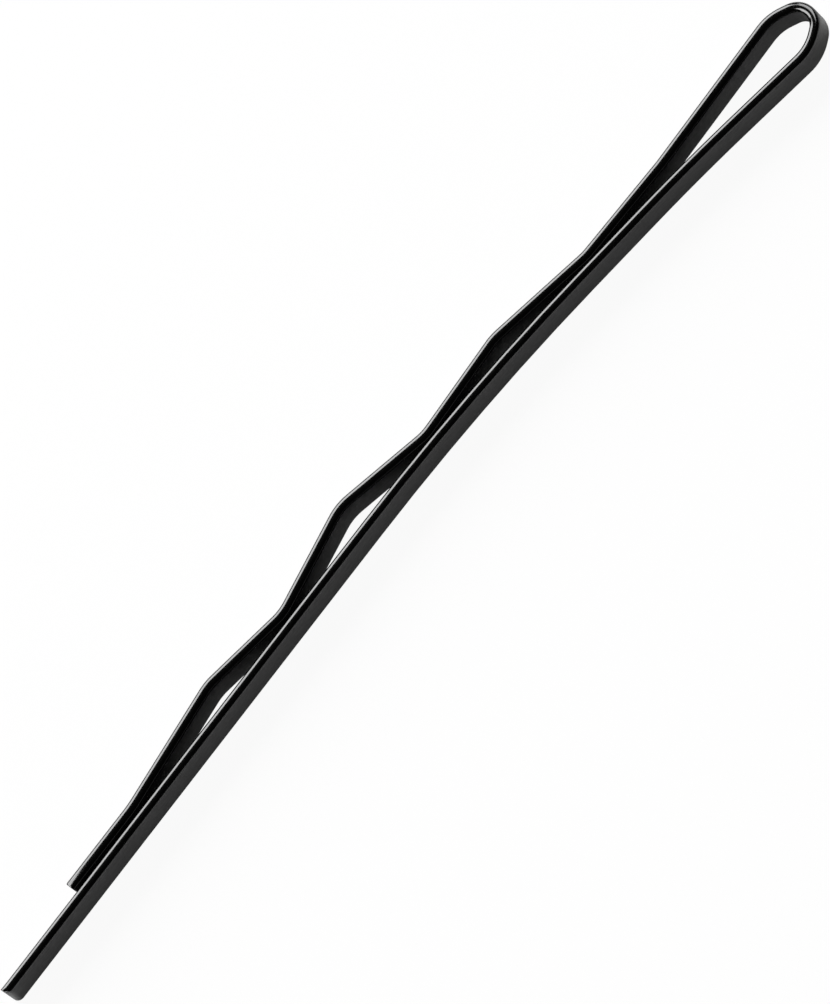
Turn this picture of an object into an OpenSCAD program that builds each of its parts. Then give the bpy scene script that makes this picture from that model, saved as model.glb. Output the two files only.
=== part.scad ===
// Bobby pin: one strip of spring steel under a thin coat of enamel, bent double into a bow.
// The straight leg is long and gently bowed, and the crimped leg has three waves that rest on it.
// The pin lies on its long edge: X runs from the tips to the bow, Y from the straight leg towards
// the crimped leg, and Z is the width of the strip. The origin is under the middle of the pin.
// The strip is divided where it flexes, on both sides of the bow, and nowhere else.

/* [Pin] */
// Length from the tip of the straight leg to the outside of the bow
pin_l = 50.8; // [48:0.1:62]
// How far the crimped leg stops short of the tip of the straight leg
leg_step = 4.9; // [3:0.1:6.5]
// Clearance where the waves rest on the straight leg
seat_gap = 0.02; // [0.01:0.005:0.05]
// Gap between the legs from the last wave to the end of the crimped leg
tail_gap = 0.1; // [0.03:0.01:0.3]
// Distance from the outside of the bow to the two places where the strip flexes
flex_x = 12.2; // [11.8:0.1:12.8]

/* [Strip] */
// Thickness of the strip with its enamel
strip_t = 0.46; // [0.43:0.01:0.5]
// Width of the strip with its enamel
strip_w = 1.7; // [1.4:0.05:2]
// Radius along the long edges of the enamelled strip
edge_r = 0.2; // [0.1:0.01:0.2]
// Thickness of the enamel
enamel_t = 0.03; // [0.02:0.005:0.05]
// How much the strip thins on each face where it is bent
bend_thin = 0.004; // [0.003:0.001:0.008]
// Radius on the outer corner at the tip of the straight leg
tip_r = 0.3; // [0.1:0.01:0.3]

/* [Straight leg] */
// Angle at which the leg rises from its tip towards the crimped leg
leg_rise = 2.7; // [2:0.1:3.3]
// Distance from the outside of the bow to the middle of the long curve of the leg
leg_curve_x = 20.7; // [19.5:0.1:23]
// Length of the long curve of the leg
leg_curve_l = 13; // [8:0.5:14]
// Angle at which the leg falls from its long curve towards the bow
leg_fall = 3.7; // [2.8:0.1:4.5]
// Distance from the outside of the bow to the middle of the curve of the neck
neck_curve_x = 8.1; // [6:0.1:8.8]
// Length of the curve of the neck
neck_curve_l = 5; // [3:0.5:6]
// Angle at which the neck falls to the bow
neck_fall = 6.5; // [5:0.1:8]

/* [Bow] */
// Clear width inside the bow
bow_gap = 1.7; // [1.6:0.02:2.2]
// Inside radius of the nose of the bow
nose_in_r = 0.55; // [0.4:0.01:0.58]
// Angle of the ramp between the neck and the nose
neck_ramp = 29; // [24:0.5:34]
// Angle of the ramp between the nose and the flank
flank_ramp = 25.5; // [20:0.5:32]
// Inside radius of the shoulder between the neck and its ramp
neck_shoulder_r = 1.8; // [1:0.1:2]
// Inside radius of the shoulder between the flank and its ramp
flank_shoulder_r = 1.8; // [1:0.1:2]

/* [Crimped leg] */
// Angle at which the flank falls from the bow
flank_fall = 3.9; // [3:0.1:4.5]
// Distance from the outside of the bow to the foot of the flank
flank_foot_x = 8.7; // [7:0.1:10]
// Inside radius of the bend at the foot of the flank
foot_in_r = 4; // [2:0.5:8]
// Inside radius of the crests and troughs
crimp_in_r = 2.2; // [1.4:0.1:2.4]
// Inside radius of the bend at the start of the tail
tail_in_r = 6; // [3:0.5:9]
// Distance from the outside of the bow to the first trough
trough_1_x = 13.4; // [13.1:0.1:14.4]
// Distance from the outside of the bow to the first crest
crest_1_x = 18.3; // [17.2:0.1:19.4]
// Distance from the outside of the bow to the second trough
trough_2_x = 23; // [22:0.1:24]
// Distance from the outside of the bow to the second crest
crest_2_x = 27.4; // [26.4:0.1:28.4]
// Distance from the outside of the bow to the third trough
trough_3_x = 32.1; // [31.2:0.1:33]
// Distance from the outside of the bow to the third crest
crest_3_x = 36.2; // [35.2:0.1:37.2]
// Distance from the outside of the bow to the start of the tail
tail_x = 41.9; // [40:0.1:42.2]
// Clear height under the first crest
crest_1_h = 0.46; // [0.3:0.01:0.7]
// Clear height under the second crest
crest_2_h = 0.9; // [0.7:0.01:1.2]
// Clear height under the third crest
crest_3_h = 0.7; // [0.5:0.01:1]

/* [Hidden] */
overrun = 0.1;
// Length by which a bend runs on into the straight strip at each end
lap = 0.02;
half_t = strip_t / 2;

// Directions in the plane of the pin
function heading(a, b) = atan2(b.y - a.y, b.x - a.x);
function along(h) = [cos(h), sin(h)];
function left_of(h) = [-sin(h), cos(h)];
function turn(a, b, c) =
    let (d = heading(b, c) - heading(a, b)) d > 180 ? d - 360 : d < -180 ? d + 360 : d;
// Length that a bend of radius r takes from the run on each side of its corner
function reach(a, b, c, r) = r * tan(abs(turn(a, b, c)) / 2);
// How far a bend of radius r stays inside its corner
function cut_in(a, b, c, r) = r * (1 / cos(turn(a, b, c) / 2) - 1);
function bend_centre(a, b, c, r) =
    b - along(heading(a, b)) * reach(a, b, c, r)
    + left_of(heading(a, b)) * sign(turn(a, b, c)) * r;
// The point of the line through p at heading h that has the given x
function on_line(p, h, x) = p + along(h) * (x - p.x) / cos(h);
// The corner where the line through p at heading g meets the line through q at heading h
function corner(p, g, q, h) = p + along(g) * cross(q - p, along(h)) / cross(along(g), along(h));

// Outside of the bow, and an x measured back from it
bow_x = pin_l / 2;
function back(x) = bow_x - x;

// Bow: a nose between two ramps, each with a shoulder
nose_r = nose_in_r + half_t;
nose_c = [back(half_t + nose_r), 0];
half_bow = bow_gap / 2 + half_t;
neck_ramp_p = nose_c - left_of(neck_ramp) * nose_r;
flank_ramp_p = nose_c - left_of(180 - flank_ramp) * nose_r;
nose = corner(neck_ramp_p, neck_ramp, flank_ramp_p, 180 - flank_ramp);
neck_shoulder = corner(neck_ramp_p, neck_ramp, [0, -half_bow], 0);
flank_shoulder = corner(flank_ramp_p, 180 - flank_ramp, [0, half_bow], 0);

// Straight leg, from the bow back to its tip
neck_curve = on_line(neck_shoulder, -neck_fall, back(neck_curve_x));
leg_curve = on_line(neck_curve, -leg_fall, back(leg_curve_x));
leg_tip = on_line(leg_curve, leg_rise, half_t * sin(leg_rise) - bow_x);
leg_flex = on_line(neck_curve, -leg_fall, back(flex_x));
neck_curve_r = neck_curve_l / 2 / tan((neck_fall - leg_fall) / 2);
leg_curve_r = leg_curve_l / 2 / tan((leg_rise + leg_fall) / 2);
leg_curve_c = bend_centre(leg_tip, leg_curve, leg_flex, leg_curve_r);
neck_curve_c = bend_centre(leg_flex, neck_curve, neck_shoulder, neck_curve_r);

// Height of the centreline of the straight leg at x, up to the end of the neck's curve
function leg_y(x) =
    x < leg_curve_c.x - leg_curve_r * sin(leg_rise) ? on_line(leg_tip, leg_rise, x).y
    : x < leg_curve_c.x + leg_curve_r * sin(leg_fall)
        ? leg_curve_c.y + sqrt(leg_curve_r ^ 2 - (x - leg_curve_c.x) ^ 2)
    : x < neck_curve_c.x + neck_curve_r * sin(leg_fall) ? on_line(leg_flex, -leg_fall, x).y
        : neck_curve_c.y + sqrt(neck_curve_r ^ 2 - (x - neck_curve_c.x) ^ 2);

// Crimped leg: each wave is placed by the clear gap between it and the straight leg
flank_foot = on_line(flank_shoulder, flank_fall, back(flank_foot_x));
function over_leg(x, gap) = [x, leg_y(x) + strip_t + gap];
crimp_r = crimp_in_r + half_t;
foot_r = foot_in_r + half_t;
tail_r = tail_in_r + half_t;
leg_end = over_leg(leg_step - bow_x, tail_gap);
waves = [[trough_1_x, seat_gap], [crest_1_x, crest_1_h], [trough_2_x, seat_gap],
         [crest_2_x, crest_2_h], [trough_3_x, tail_gap], [crest_3_x, crest_3_h]];
rough = [flank_foot, each [for (w = waves) over_leg(back(w[0]), w[1])],
         over_leg(back(tail_x), tail_gap)];
// Each corner moves out by what its bend cuts off, so that the bend itself has the stated gap
crimps = [for (i = [1:len(waves)]) let (a = rough[i - 1], b = rough[i], c = rough[i + 1])
          b + [0, sign(turn(a, b, c)) * cut_in(a, b, c, crimp_r)]];
tail = rough[len(rough) - 1];
crimp_flex = on_line(crimps[0], heading(crimps[0], flank_foot), back(flex_x));

// Corners and bend radii of the three lengths of strip
leg_line = [leg_tip, leg_curve, leg_flex];
leg_radii = [leg_curve_r];
bow_line = [leg_flex, neck_curve, neck_shoulder, nose, flank_shoulder, flank_foot, crimp_flex];
bow_radii = [neck_curve_r, neck_shoulder_r + half_t, nose_r, flank_shoulder_r + half_t, foot_r];
crimp_line = [crimp_flex, each crimps, tail, leg_end];
crimp_radii = [each [for (c = crimps) crimp_r], tail_r];

// Highest and lowest points of the pin, which put the origin under its middle
function bend_c(line, radii, i) = bend_centre(line[i - 1], line[i], line[i + 1], radii[i - 1]);
top_y = half_t + max(bend_c(bow_line, bow_radii, 4).y + bow_radii[3],
                     max([for (i = [2:2:len(crimps)]) bend_c(crimp_line, crimp_radii, i).y]) + crimp_r);
low_y = -half_t + min(bend_c(bow_line, bow_radii, 2).y - bow_radii[1], leg_tip.y);
mid_y = (top_y + low_y) / 2;

// Cross-section of the strip, or of what lies a given depth under its surface
module section(depth) {
    t = strip_t - 2 * depth;
    w = strip_w - 2 * depth;
    r = edge_r - depth;
    translate([0, strip_w / 2]) {
        square([t - 2 * r, w], center = true);
        square([t, w - 2 * r], center = true);
        for (i = [-1, 1], j = [-1, 1])
            translate([i * (t / 2 - r), j * (w / 2 - r)]) circle(r, $fn = 24);
    }
}

module run(a, b, depth) {
    translate(a) rotate(heading(a, b)) rotate([90, 0, 90])
        linear_extrude(norm(b - a)) section(depth);
}

module bend(a, b, c, r, depth) {
    swing = turn(a, b, c);
    lap_angle = lap / r * 180 / PI;
    sweep = abs(swing) + 2 * lap_angle;
    first = heading(a, b) - lap_angle + (swing > 0 ? -90 : 90 + swing);
    steps = max(4, ceil(sweep / 6));
    translate(bend_centre(a, b, c, r)) rotate(first)
        rotate_extrude(angle = sweep, $fn = ceil(360 * steps / sweep))
            translate([r, 0]) section(depth + bend_thin);
}

// The strip along a line of corners, each rounded to its own radius
module strip(line, radii, depth = 0) {
    last = len(line) - 1;
    takes = [0, each [for (i = [1:last - 1]) reach(line[i - 1], line[i], line[i + 1], radii[i - 1])], 0];
    for (i = [0:last - 1]) {
        way = along(heading(line[i], line[i + 1]));
        run(line[i] + way * takes[i], line[i + 1] - way * takes[i + 1], depth);
    }
    for (i = [1:last - 1]) bend(line[i - 1], line[i], line[i + 1], radii[i - 1], depth);
}

// A line of corners with its first or last point moved out along the strip
function grown(line, at_start, at_end) =
    let (n = len(line) - 1)
    [line[0] - along(heading(line[0], line[1])) * at_start,
     each [for (i = [1:n - 1]) line[i]],
     line[n] + along(heading(line[n - 1], line[n])) * at_end];

// What rounds the outer corner at the tip of the straight leg
module tip_cut(depth) {
    translate(leg_tip) rotate(leg_rise) translate([tip_r, tip_r - half_t, -overrun])
        linear_extrude(strip_w + 2 * overrun) difference() {
            translate([-2 * tip_r, -2 * tip_r]) square(2 * tip_r);
            circle(tip_r - depth, $fn = 48);
        }
}

module straight_leg(depth, past) {
    difference() {
        strip(grown(leg_line, -depth, past), leg_radii, depth);
        tip_cut(depth);
    }
}

module bow(depth, past) {
    strip(grown(bow_line, past, past), bow_radii, depth);
}

module crimped_leg(depth, past) {
    strip(grown(crimp_line, past, -depth), crimp_radii, depth);
}

module centred() {
    translate([0, -mid_y, 0]) children();
}

module straight_leg_core() {
    color("silver") centred() straight_leg(enamel_t, 0);
}

module straight_leg_enamel() {
    color([0.06, 0.06, 0.06]) centred() difference() {
        straight_leg(0, 0);
        straight_leg(enamel_t, overrun);
    }
}

module bow_core() {
    color("silver") centred() bow(enamel_t, 0);
}

module bow_enamel() {
    color([0.06, 0.06, 0.06]) centred() difference() {
        bow(0, 0);
        bow(enamel_t, overrun);
    }
}

module crimped_leg_core() {
    color("silver") centred() crimped_leg(enamel_t, 0);
}

module crimped_leg_enamel() {
    color([0.06, 0.06, 0.06]) centred() difference() {
        crimped_leg(0, 0);
        crimped_leg(enamel_t, overrun);
    }
}

straight_leg_core();
straight_leg_enamel();
bow_core();
bow_enamel();
crimped_leg_core();
crimped_leg_enamel();
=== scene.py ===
import math

import bmesh
import bpy
from mathutils import Matrix, Vector


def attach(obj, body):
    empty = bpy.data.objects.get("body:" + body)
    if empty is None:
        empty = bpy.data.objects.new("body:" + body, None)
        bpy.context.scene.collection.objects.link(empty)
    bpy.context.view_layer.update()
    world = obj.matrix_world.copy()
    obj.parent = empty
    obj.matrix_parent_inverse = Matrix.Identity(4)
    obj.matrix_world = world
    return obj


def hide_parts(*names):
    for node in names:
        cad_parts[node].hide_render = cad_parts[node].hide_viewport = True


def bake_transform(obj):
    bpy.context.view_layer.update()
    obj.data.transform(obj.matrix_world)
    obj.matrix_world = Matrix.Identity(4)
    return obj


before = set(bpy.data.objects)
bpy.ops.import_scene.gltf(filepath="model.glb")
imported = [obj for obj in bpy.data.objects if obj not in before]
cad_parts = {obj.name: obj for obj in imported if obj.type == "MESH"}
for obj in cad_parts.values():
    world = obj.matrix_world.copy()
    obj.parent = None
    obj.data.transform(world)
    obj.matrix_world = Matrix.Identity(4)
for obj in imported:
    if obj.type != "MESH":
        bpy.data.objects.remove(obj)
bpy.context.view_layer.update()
mm = 0.001
print("frame loaded")

# the camera looks down on the pin from the side of the straight leg, from a long way off,
# and its place comes from fitting the pin's outlines to the photo
view = dict(
    lookAt=Vector((0.100, -0.971, 1.5)) * mm,
    right=Vector((0.6463, -0.7112, -0.2765)),
    up=Vector((0.7630, 0.6026, 0.2338)),
    frameHeight=40.0 * mm,
    lens=600,
    sensor=36,
)


def makeCamera(v):
    data = bpy.data.cameras.new("camera")
    data.lens = v["lens"]
    data.sensor_width = v["sensor"]
    camera = bpy.data.objects.new("camera", data)
    bpy.context.scene.collection.objects.link(camera)
    back = v["right"].cross(v["up"]).normalized()
    right = v["up"].cross(back).normalized()
    up = back.cross(right)
    distance = v["frameHeight"] * v["lens"] / v["sensor"]
    turned = Matrix((right, up, back)).transposed().to_4x4()
    camera.matrix_world = Matrix.Translation(v["lookAt"] + back * distance) @ turned
    data.clip_start = distance * 0.1
    data.clip_end = distance * 20
    bpy.context.scene.camera = camera


makeCamera(view)
print("camera set")


def newMaterial(name):
    material = bpy.data.materials.new(name)
    material.use_nodes = True
    nodes, links = material.node_tree.nodes, material.node_tree.links
    return material, nodes, links, nodes["Principled BSDF"]


def noiseOn(nodes, links, stretch, scale, detail=3.0, roughness=0.5):
    # noise on the piece's own coordinates: scale is in cells per mm, and stretch multiplies it by axis
    place = nodes.new("ShaderNodeTexCoord")
    mapping = nodes.new("ShaderNodeMapping")
    mapping.inputs["Scale"].default_value = stretch
    links.new(place.outputs["Object"], mapping.inputs["Vector"])
    noise = nodes.new("ShaderNodeTexNoise")
    noise.inputs["Scale"].default_value = scale / mm
    noise.inputs["Detail"].default_value = detail
    noise.inputs["Roughness"].default_value = roughness
    links.new(mapping.outputs["Vector"], noise.inputs["Vector"])
    return noise.outputs["Fac"]


def ranged(nodes, links, value, fromLow, fromHigh, toLow, toHigh, smooth=False):
    remap = nodes.new("ShaderNodeMapRange")
    if smooth:
        remap.interpolation_type = "SMOOTHSTEP"
    for key, number in zip(("From Min", "From Max", "To Min", "To Max"), (fromLow, fromHigh, toLow, toHigh)):
        remap.inputs[key].default_value = number
    links.new(value, remap.inputs["Value"])
    return remap.outputs["Result"]


def worked(nodes, links, operation, a, b):
    node = nodes.new("ShaderNodeMath")
    node.operation = operation
    for socket, value in zip(node.inputs, (a, b)):
        if isinstance(value, (int, float)):
            socket.default_value = value
        else:
            links.new(value, socket)
    return node.outputs[0]


def bumped(nodes, links, height, distance, normal=None):
    bump = nodes.new("ShaderNodeBump")
    bump.inputs["Strength"].default_value = 1.0
    bump.inputs["Distance"].default_value = distance
    links.new(height, bump.inputs["Height"])
    if normal:
        links.new(normal, bump.inputs["Normal"])
    return bump.outputs["Normal"]


enamel = dict(
    dark=(0.0005, 0.0005, 0.0005, 1),
    pale=(0.0012, 0.0012, 0.0011, 1),
    cloudScale=2.2,
    ior=1.55,
    faceRoughness=0.42,
    edgeRoughness=0.12,
    grainScale=9,
    grainStretch=(0.25, 1, 1),
    grainDrift=(0.88, 1.14),  # what the grain multiplies the roughness by
    peelScale=4.0,
    peelHeight=0.0006 * mm,
    rubScale=22,
    rubStretch=(0.04, 1, 1),
    rubHeight=0.0002 * mm,
)


def makeEnamel(e):
    material, nodes, links, shader = newMaterial("blackEnamel")
    # the coat is thin enough for its colour to vary a little over some tenths of a millimetre
    cloud = noiseOn(nodes, links, (1, 1, 1), e["cloudScale"], detail=4.0)
    colour = nodes.new("ShaderNodeMix")
    colour.data_type = "RGBA"
    colour.inputs[6].default_value = e["dark"]
    colour.inputs[7].default_value = e["pale"]
    links.new(ranged(nodes, links, cloud, 0.35, 0.7, 0, 1), colour.inputs[0])
    links.new(colour.outputs[2], shader.inputs["Base Color"])
    # the rolled faces are satin, and the coat runs smooth over the long edges, which face up and down
    geometry = nodes.new("ShaderNodeNewGeometry")
    split = nodes.new("ShaderNodeSeparateXYZ")
    links.new(geometry.outputs["Normal"], split.inputs[0])
    upright = worked(nodes, links, "ABSOLUTE", split.outputs["Z"], 0)
    side = ranged(nodes, links, upright, 0.1, 0.55, e["faceRoughness"], e["edgeRoughness"], smooth=True)
    grain = noiseOn(nodes, links, e["grainStretch"], e["grainScale"], detail=4.0, roughness=0.6)
    drift = ranged(nodes, links, grain, 0.3, 0.7, *e["grainDrift"])
    links.new(worked(nodes, links, "MULTIPLY", side, drift), shader.inputs["Roughness"])
    shader.inputs["IOR"].default_value = e["ior"]
    # orange peel, then hair-fine rub marks along the strip
    peel = noiseOn(nodes, links, (1, 1, 1), e["peelScale"], detail=2.0)
    rubs = noiseOn(nodes, links, e["rubStretch"], e["rubScale"], detail=2.0)
    normal = bumped(nodes, links, peel, e["peelHeight"])
    normal = bumped(nodes, links, rubs, e["rubHeight"], normal)
    links.new(normal, shader.inputs["Normal"])
    return material


steel = dict(
    dark=(0.42, 0.42, 0.43, 1),
    pale=(0.60, 0.60, 0.61, 1),
    grainScale=14,
    grainStretch=(0.03, 1, 1),  # the lines of rolling run along the strip
    grainHeight=0.0008 * mm,
    roughness=(0.28, 0.42),
)


def makeSteel(s):
    material, nodes, links, shader = newMaterial("springSteel")
    grain = noiseOn(nodes, links, s["grainStretch"], s["grainScale"], detail=4.0)
    colour = nodes.new("ShaderNodeMix")
    colour.data_type = "RGBA"
    colour.inputs[6].default_value = s["dark"]
    colour.inputs[7].default_value = s["pale"]
    links.new(grain, colour.inputs[0])
    links.new(colour.outputs[2], shader.inputs["Base Color"])
    shader.inputs["Metallic"].default_value = 1.0
    links.new(ranged(nodes, links, grain, 0.3, 0.7, *s["roughness"]), shader.inputs["Roughness"])
    links.new(bumped(nodes, links, grain, s["grainHeight"]), shader.inputs["Normal"])
    return material


blackEnamel = makeEnamel(enamel)
springSteel = makeSteel(steel)
print("materials made")


# the line of the pin is worked out in millimetres and degrees, as the solids are: its corners come first,
# then the bend at each of them. Every X here is measured from the outside of the bow, and bends have their
# inside radius.
pin = dict(
    length=50.8,
    legStep=4.9,  # how much shorter the crimped leg is
    seatGap=0.02,  # between the legs at the first two troughs
    tailGap=0.1,  # and from the third trough to the end
    flexX=12.2,
    thick=0.46,
    wide=1.7,
    edgeRadius=0.2,
    tipRadius=0.3,
)
leg = dict(
    rise=2.7,  # slope from the tip to the long curve
    curveX=20.7,
    curveLength=13,
    fall=3.7,  # slope from the long curve to the neck
    neckX=8.1,
    neckLength=5,
    neckFall=6.5,
)
bow = dict(
    gap=1.7,
    noseRadius=0.55,
    neckRamp=29,  # slopes of the ramps that close the bow towards its nose
    flankRamp=25.5,
    neckShoulder=1.8,
    flankShoulder=1.8,
    flankFall=3.9,
    footX=8.7,
    footRadius=4,
)
crimp = dict(
    radius=2.2,
    troughs=(13.4, 23, 32.1),
    crests=(18.3, 27.4, 36.2),
    heights=(0.46, 0.9, 0.7),  # clear under each crest
    tailX=41.9,
    tailRadius=6,
)
halfThick = pin["thick"] / 2
bowX = pin["length"] / 2


def heading(a, b):
    return math.degrees(math.atan2(b.y - a.y, b.x - a.x))


def along(h):
    return Vector((math.cos(math.radians(h)), math.sin(math.radians(h))))


def leftOf(h):
    return Vector((-math.sin(math.radians(h)), math.cos(math.radians(h))))


# how far the line turns at corner b, and how far from it and beside it the bend lies
def turnAt(a, b, c):
    return (heading(b, c) - heading(a, b) + 180) % 360 - 180


def reachOf(a, b, c, r):
    return r * math.tan(math.radians(abs(turnAt(a, b, c)) / 2))


def cutIn(a, b, c, r):
    return r * (1 / math.cos(math.radians(turnAt(a, b, c) / 2)) - 1)


def bendCentre(a, b, c, r):
    h = heading(a, b)
    return b - along(h) * reachOf(a, b, c, r) + leftOf(h) * math.copysign(r, turnAt(a, b, c))


# the point at x on the line through p with heading h, and where two such lines cross
def onLine(p, h, x):
    return p + along(h) * (x - p.x) / math.cos(math.radians(h))


def corner(p, g, q, h):
    step, other = along(g), along(h)
    between = q - p
    share = (between.x * other.y - between.y * other.x) / (step.x * other.y - step.y * other.x)
    return p + step * share


# bow
noseR = bow["noseRadius"] + halfThick
noseC = Vector((bowX - halfThick - noseR, 0))
halfBow = bow["gap"] / 2 + halfThick
neckRampP = noseC - leftOf(bow["neckRamp"]) * noseR
flankRampP = noseC - leftOf(180 - bow["flankRamp"]) * noseR
nose = corner(neckRampP, bow["neckRamp"], flankRampP, 180 - bow["flankRamp"])
neckShoulder = corner(neckRampP, bow["neckRamp"], Vector((0, -halfBow)), 0)
flankShoulder = corner(flankRampP, 180 - bow["flankRamp"], Vector((0, halfBow)), 0)

# straight leg
neckCurve = onLine(neckShoulder, -leg["neckFall"], bowX - leg["neckX"])
legCurve = onLine(neckCurve, -leg["fall"], bowX - leg["curveX"])
legTip = onLine(legCurve, leg["rise"], halfThick * math.sin(math.radians(leg["rise"])) - bowX)
legFlex = onLine(neckCurve, -leg["fall"], bowX - pin["flexX"])
neckCurveR = leg["neckLength"] / 2 / math.tan(math.radians((leg["neckFall"] - leg["fall"]) / 2))
legCurveR = leg["curveLength"] / 2 / math.tan(math.radians((leg["rise"] + leg["fall"]) / 2))
legCurveC = bendCentre(legTip, legCurve, legFlex, legCurveR)
neckCurveC = bendCentre(legFlex, neckCurve, neckShoulder, neckCurveR)


def legY(x):
    rise, fall = (math.sin(math.radians(leg[k])) for k in ("rise", "fall"))
    if x < legCurveC.x - legCurveR * rise:
        return onLine(legTip, leg["rise"], x).y
    if x < legCurveC.x + legCurveR * fall:
        return legCurveC.y + math.sqrt(legCurveR ** 2 - (x - legCurveC.x) ** 2)
    if x < neckCurveC.x + neckCurveR * fall:
        return onLine(legFlex, -leg["fall"], x).y
    return neckCurveC.y + math.sqrt(neckCurveR ** 2 - (x - neckCurveC.x) ** 2)


# crimped leg
def overLeg(x, gap):
    return Vector((x, legY(x) + pin["thick"] + gap))


flankFoot = onLine(flankShoulder, bow["flankFall"], bowX - bow["footX"])
crimpR = crimp["radius"] + halfThick
legEnd = overLeg(pin["legStep"] - bowX, pin["tailGap"])
tail = overLeg(bowX - crimp["tailX"], pin["tailGap"])
rough = [flankFoot]
for trough, crest, height, seat in zip(
    crimp["troughs"], crimp["crests"], crimp["heights"], (pin["seatGap"], pin["seatGap"], pin["tailGap"])
):
    rough += [overLeg(bowX - trough, seat), overLeg(bowX - crest, height)]
rough.append(tail)
waves = []
for a, b, c in zip(rough, rough[1:], rough[2:]):
    waves.append(b + Vector((0, math.copysign(cutIn(a, b, c, crimpR), turnAt(a, b, c)))))
crimpFlex = onLine(waves[0], heading(waves[0], flankFoot), bowX - pin["flexX"])

legLine, legRadii = [legTip, legCurve, legFlex], [legCurveR]
bowLine = [legFlex, neckCurve, neckShoulder, nose, flankShoulder, flankFoot, crimpFlex]
bowRadii = [
    neckCurveR, bow["neckShoulder"] + halfThick, noseR, bow["flankShoulder"] + halfThick,
    bow["footRadius"] + halfThick,
]
crimpLine = [crimpFlex, *waves, tail, legEnd]
crimpRadii = [crimpR] * len(waves) + [crimp["tailRadius"] + halfThick]

# the pin's middle comes to Y 0, half-way between its highest and lowest points
crestCorners = (2, 4, 6)  # in crimpLine
topY = halfThick + max(
    bendCentre(*bowLine[3:6], bowRadii[3]).y + bowRadii[3],
    max(bendCentre(*crimpLine[i - 1:i + 2], crimpR).y for i in crestCorners) + crimpR,
)
lowY = -halfThick + min(bendCentre(*bowLine[1:4], bowRadii[1]).y - bowRadii[1], legTip.y)
middle = Vector((0, (topY + lowY) / 2))
for line in (legLine, bowLine, crimpLine):
    line[:] = [p - middle for p in line]
print("pin drawn: nose at", round(bowLine[3].x, 4), "tip at", round(legLine[0].x, 4), round(legLine[0].y, 4))


skin = dict(
    inset=0.006,  # keeps the skin inside the solids
    edgeSteps=8,
    bendStep=4.0,  # degrees
    leastBendSteps=6,
    runStep=1.5,
    flexStep=0.1,  # along the lengths that bend with the joints
    flexZone=0.9,  # half of such a length
    rim=0.045,  # rounding round the cut ends
    rimSteps=3,
    tipCuts=8,  # cuts that let the corner of the long tip be rounded
)


def onlyFace(geometry):
    return next(g for g in geometry if isinstance(g, bmesh.types.BMFace))


def startFace(bm, at, h):
    # the strip's section as one face, standing across the line and facing along it
    made = bmesh.ops.create_grid(bm, x_segments=1, y_segments=1, size=0.5)
    thick, wide = pin["thick"] - 2 * skin["inset"], pin["wide"] - 2 * skin["inset"]
    bmesh.ops.scale(bm, vec=(thick * mm, wide * mm, 1), verts=made["verts"])
    bmesh.ops.bevel(
        bm, geom=made["verts"], offset=(pin["edgeRadius"] - skin["inset"]) * mm, offset_type="OFFSET",
        affect="VERTICES", segments=skin["edgeSteps"], profile=0.5, material=-1,
    )
    side, ahead = leftOf(h).to_3d(), along(h).to_3d()
    stand = Matrix((side, Vector((0, 0, 1)), ahead)).transposed().to_4x4()
    place = Matrix.Translation(Vector((at.x, at.y, pin["wide"] / 2)) * mm)
    bmesh.ops.transform(bm, matrix=place @ stand, verts=bm.verts)
    return next(iter(bm.faces))


def runOn(bm, face, a, b, runStep):
    steps = max(1, round((b - a).length / runStep))
    step = ((b - a) / steps).to_3d() * mm
    for _ in range(steps):
        # with its edges the end face moves on, and none is left inside the strip
        region = [face, *face.edges, *face.verts]
        face = onlyFace(bmesh.ops.extrude_face_region(bm, geom=region)["geom"])
        bmesh.ops.translate(bm, vec=step, verts=face.verts)
    return face


def bendOn(bm, face, a, b, c, r):
    swing = turnAt(a, b, c)
    centre = bendCentre(a, b, c, r)
    turned = bmesh.ops.spin(
        bm, geom=[face, *face.edges, *face.verts], cent=Vector((centre.x, centre.y, 0)) * mm,
        axis=(0, 0, 1), dvec=(0, 0, 0), angle=math.radians(swing),
        steps=max(skin["leastBendSteps"], math.ceil(abs(swing) / skin["bendStep"])),
    )
    return onlyFace(turned["geom_last"])


def stripAlong(line, radii, runStep=skin["runStep"]):
    # one length of strip, run and bent along a line of corners, closed at both ends
    bm = bmesh.new()
    last = len(line) - 1
    takes = [0] + [reachOf(*line[i - 1:i + 2], radii[i - 1]) for i in range(1, last)] + [0]
    face = startFace(bm, line[0], heading(line[0], line[1]))
    for i in range(last):
        way = along(heading(line[i], line[i + 1]))
        face = runOn(bm, face, line[i] + way * takes[i], line[i + 1] - way * takes[i + 1], runStep)
        if i + 1 < last:
            face = bendOn(bm, face, *line[i:i + 3], radii[i])
    bmesh.ops.recalc_face_normals(bm, faces=bm.faces)
    return bm


def endFace(bm, at):
    # the end cap whose middle is nearest to a point of the line
    where = Vector((at.x, at.y, pin["wide"] / 2)) * mm
    caps = [f for f in bm.faces if len(f.verts) > 4]
    return min(caps, key=lambda f: (f.calc_center_median() - where).length)


def softenRim(bm, face):
    bmesh.ops.bevel(
        bm, geom=face.edges[:], offset=skin["rim"] * mm, offset_type="OFFSET", affect="EDGES",
        segments=skin["rimSteps"], profile=0.5, material=-1, loop_slide=True, clamp_overlap=True,
    )


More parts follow.
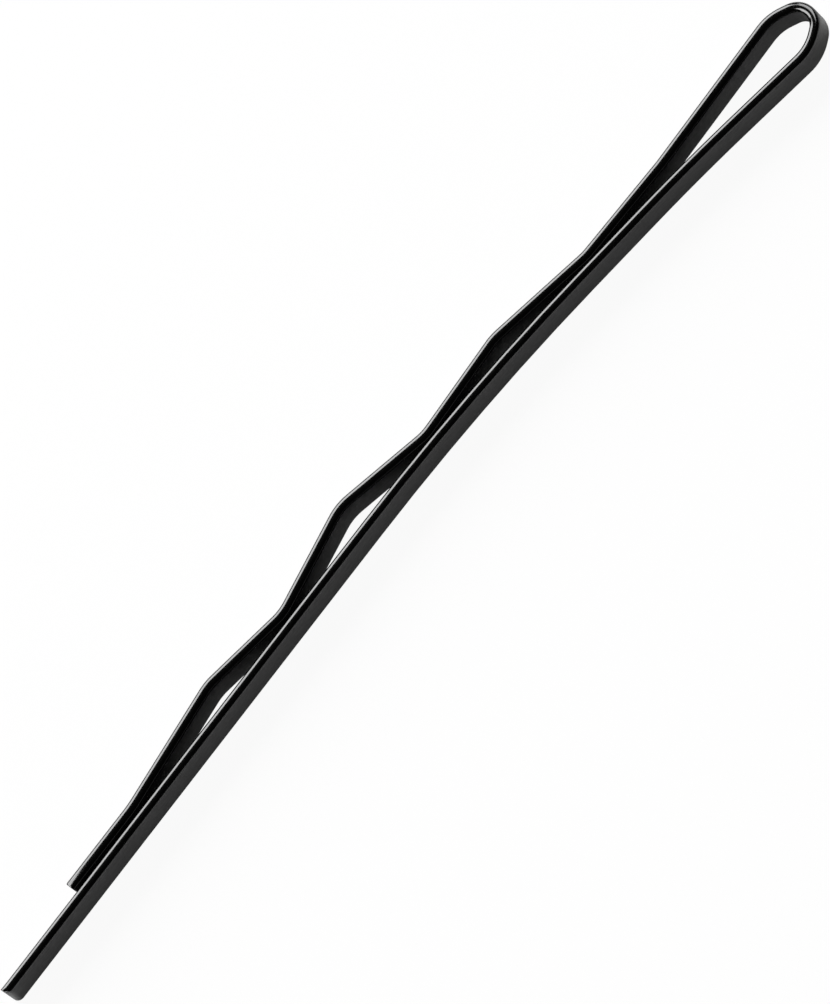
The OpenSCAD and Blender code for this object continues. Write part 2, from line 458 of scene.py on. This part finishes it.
def finishPiece(bm, name, material):
    for face in bm.faces:
        face.smooth = True
        if len(face.verts) > 4:
            for edge in face.edges:
                edge.smooth = False
    openEdges = sum(1 for e in bm.edges if len(e.link_faces) != 2)
    volume = bm.calc_volume() / mm ** 3
    print(name, len(bm.faces), "faces,", openEdges, "open edges, volume", round(volume, 2), "mm3")
    mesh = bpy.data.meshes.new(name)
    bm.to_mesh(mesh)
    bm.free()
    mesh.materials.append(material)
    piece = bpy.data.objects.new(name, mesh)
    bpy.context.scene.collection.objects.link(piece)
    weighted = piece.modifiers.new("weighted", "WEIGHTED_NORMAL")
    weighted.keep_sharp = True
    return piece


legOut = along(heading(legLine[1], legLine[2])) * skin["flexZone"]
flankOut = along(heading(bowLine[5], bowLine[6])) * skin["flexZone"]

bm = stripAlong([legLine[0], legLine[1], legLine[2] - legOut], legRadii)
# the outer corner of the long tip is rounded: there the strip thins towards its end, from the outer face in
tip, rise, r = legLine[0].to_3d() * mm, heading(legLine[0], legLine[1]), pin["tipRadius"]
endWay, outWay = along(rise).to_3d(), -leftOf(rise).to_3d()
for i in range(1, skin["tipCuts"] + 1):
    cut = tip + endWay * r * (i / skin["tipCuts"]) ** 1.5 * mm  # closer together towards the end
    bmesh.ops.bisect_plane(
        bm, geom=[*bm.verts, *bm.edges, *bm.faces], dist=1e-8, plane_co=cut, plane_no=endWay,
    )
for vert in bm.verts:
    away, across = ((vert.co - tip).dot(way) / mm for way in (endWay, outWay))
    if away < r - 1e-6:
        loss = r - math.sqrt(max(0, r * r - (r - max(away, 0)) ** 2))
        share = (across + halfThick) / pin["thick"]  # 1 at the outer face and 0 at the inner one
        vert.co -= outWay * loss * share * mm
softenRim(bm, endFace(bm, legLine[0]))
straightSkin = finishPiece(bm, "straight_leg_skin", blackEnamel)
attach(straightSkin, "straight_leg")
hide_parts("straight_leg_enamel")

bm = stripAlong([bowLine[0] + legOut, *bowLine[1:-1], bowLine[-1] - flankOut], bowRadii)
bowSkin = finishPiece(bm, "bow_skin", blackEnamel)
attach(bowSkin, "bow")
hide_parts("bow_enamel")

bm = stripAlong([crimpLine[0] + flankOut, *crimpLine[1:]], crimpRadii)
softenRim(bm, endFace(bm, crimpLine[-1]))
crimpedSkin = finishPiece(bm, "crimped_leg_skin", blackEnamel)
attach(crimpedSkin, "crimped_leg")
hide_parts("crimped_leg_enamel")

bm = stripAlong([legLine[2] - legOut, legLine[2] + legOut], [], skin["flexStep"])
neckSkin = finishPiece(bm, "neck_skin", blackEnamel)
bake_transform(neckSkin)

bm = stripAlong([crimpLine[0] - flankOut, crimpLine[0] + flankOut], [], skin["flexStep"])
flankSkin = finishPiece(bm, "flank_skin", blackEnamel)
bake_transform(flankSkin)

# the steel inside keeps its own mesh
for name in ("straight_leg_core", "bow_core", "crimped_leg_core"):
    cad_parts[name].material_slots[0].material = springSteel
print("strip made")


studio = dict(
    floorSize=6.0,
    floorDrop=0.002 * mm,  # keeps the floor clear of the strip's lower edge
    floorColour=(0.94, 0.94, 0.94, 1),
    glowSeen=0.94,  # how far the camera sees the floor as plain white
    glowMirrored=0.31,  # and how far the enamel sees it so, before painted shade darkens it near the pin
    paintedShadeWithin=1.5 * mm,  # how near the pin the floor's glow in reflections gets painted shade, which keeps the faces between the legs dark
    paintedShadeSamples=8,
)


def makeFloor(s):
    bm = bmesh.new()
    bmesh.ops.create_grid(bm, x_segments=4, y_segments=4, size=s["floorSize"] / 2)
    bmesh.ops.translate(bm, vec=(0, 0, -s["floorDrop"]), verts=bm.verts)
    mesh = bpy.data.meshes.new("floor")
    bm.to_mesh(mesh)
    bm.free()
    floor = bpy.data.objects.new("floor", mesh)
    bpy.context.scene.collection.objects.link(floor)
    material, nodes, links, shader = newMaterial("paleFloor")
    shader.inputs["Base Color"].default_value = s["floorColour"]
    shader.inputs["Roughness"].default_value = 0.9
    shader.inputs["Specular IOR Level"].default_value = 0.0
    glow = nodes.new("ShaderNodeEmission")
    glow.inputs["Strength"].default_value = 1.0
    path = nodes.new("ShaderNodeLightPath")
    gloss, through = path.outputs["Is Glossy Ray"], path.outputs["Is Transmission Ray"]
    mirrored = worked(nodes, links, "MAXIMUM", gloss, through)
    mirrored = worked(nodes, links, "MULTIPLY", mirrored, s["glowMirrored"])
    # painted shade: ambient occlusion darkens the floor's glow, as the enamel mirrors it, close to the pin
    # and most between the legs
    paintedShade = nodes.new("ShaderNodeAmbientOcclusion")
    paintedShade.samples = s["paintedShadeSamples"]
    paintedShade.inputs["Distance"].default_value = s["paintedShadeWithin"]
    mirrored = worked(nodes, links, "MULTIPLY", mirrored, paintedShade.outputs["AO"])
    seen = worked(nodes, links, "MULTIPLY", path.outputs["Is Camera Ray"], s["glowSeen"])
    mix = nodes.new("ShaderNodeMixShader")
    links.new(worked(nodes, links, "MAXIMUM", seen, mirrored), mix.inputs[0])
    links.new(shader.outputs[0], mix.inputs[1])
    links.new(glow.outputs[0], mix.inputs[2])
    links.new(mix.outputs[0], nodes["Material Output"].inputs["Surface"])
    mesh.materials.append(material)


# azimuth runs from +Y towards +X, distance and size are in metres, and level is the panel's brightness.
# The side boxes show only in gloss, on the bow, so that colours stay at a plain level.
lamps = dict(
    keyBox=dict(azimuth=0, elevation=33, distance=0.6, width=0.46, height=0.5, level=10.0),
    leftBox=dict(
        azimuth=-64, elevation=44, distance=0.6, width=0.46, height=0.5, level=11.0, inDiffuse=False,
    ),
    rightBox=dict(
        azimuth=58, elevation=44, distance=0.6, width=0.34, height=0.5, level=8.0, inDiffuse=False,
    ),
    topFill=dict(azimuth=180, elevation=82, distance=0.8, width=0.4, height=0.4, level=0.8, inGloss=False),
)


def softBox(name, azimuth, elevation, distance, width, height, level, inGloss=True, inDiffuse=True):
    a, e = math.radians(azimuth), math.radians(elevation)
    out = Vector((math.sin(a) * math.cos(e), math.cos(a) * math.cos(e), math.sin(e)))
    data = bpy.data.lights.new(name, "AREA")
    data.shape = "RECTANGLE"
    data.size, data.size_y = width, height
    data.energy = level * math.pi * width * height
    lamp = bpy.data.objects.new(name, data)
    bpy.context.scene.collection.objects.link(lamp)
    lamp.location = out * distance
    lamp.rotation_mode = "QUATERNION"
    lamp.rotation_quaternion = out.to_track_quat("Z", "Y")
    lamp.visible_glossy = inGloss
    lamp.visible_diffuse = inDiffuse


makeFloor(studio)
for name, box in lamps.items():
    softBox(name, **box)

# the room is pale below the horizon and nearly black above it, which keeps the band along the top dark
room = dict(pale=0.9, dark=0.012, fade=0.04)
world = bpy.data.worlds.new("studioRoom")
bpy.context.scene.world = world
world.use_nodes = True
nodes, links = world.node_tree.nodes, world.node_tree.links
place = nodes.new("ShaderNodeTexCoord")
split = nodes.new("ShaderNodeSeparateXYZ")
links.new(place.outputs["Generated"], split.inputs[0])
wall = ranged(nodes, links, split.outputs["Z"], 0.0, room["fade"], room["pale"], room["dark"], smooth=True)
links.new(wall, nodes["Background"].inputs["Strength"])
nodes["Background"].inputs["Color"].default_value = (1, 1, 1, 1)
bpy.context.scene.view_settings.view_transform = "Standard"
print("studio made")
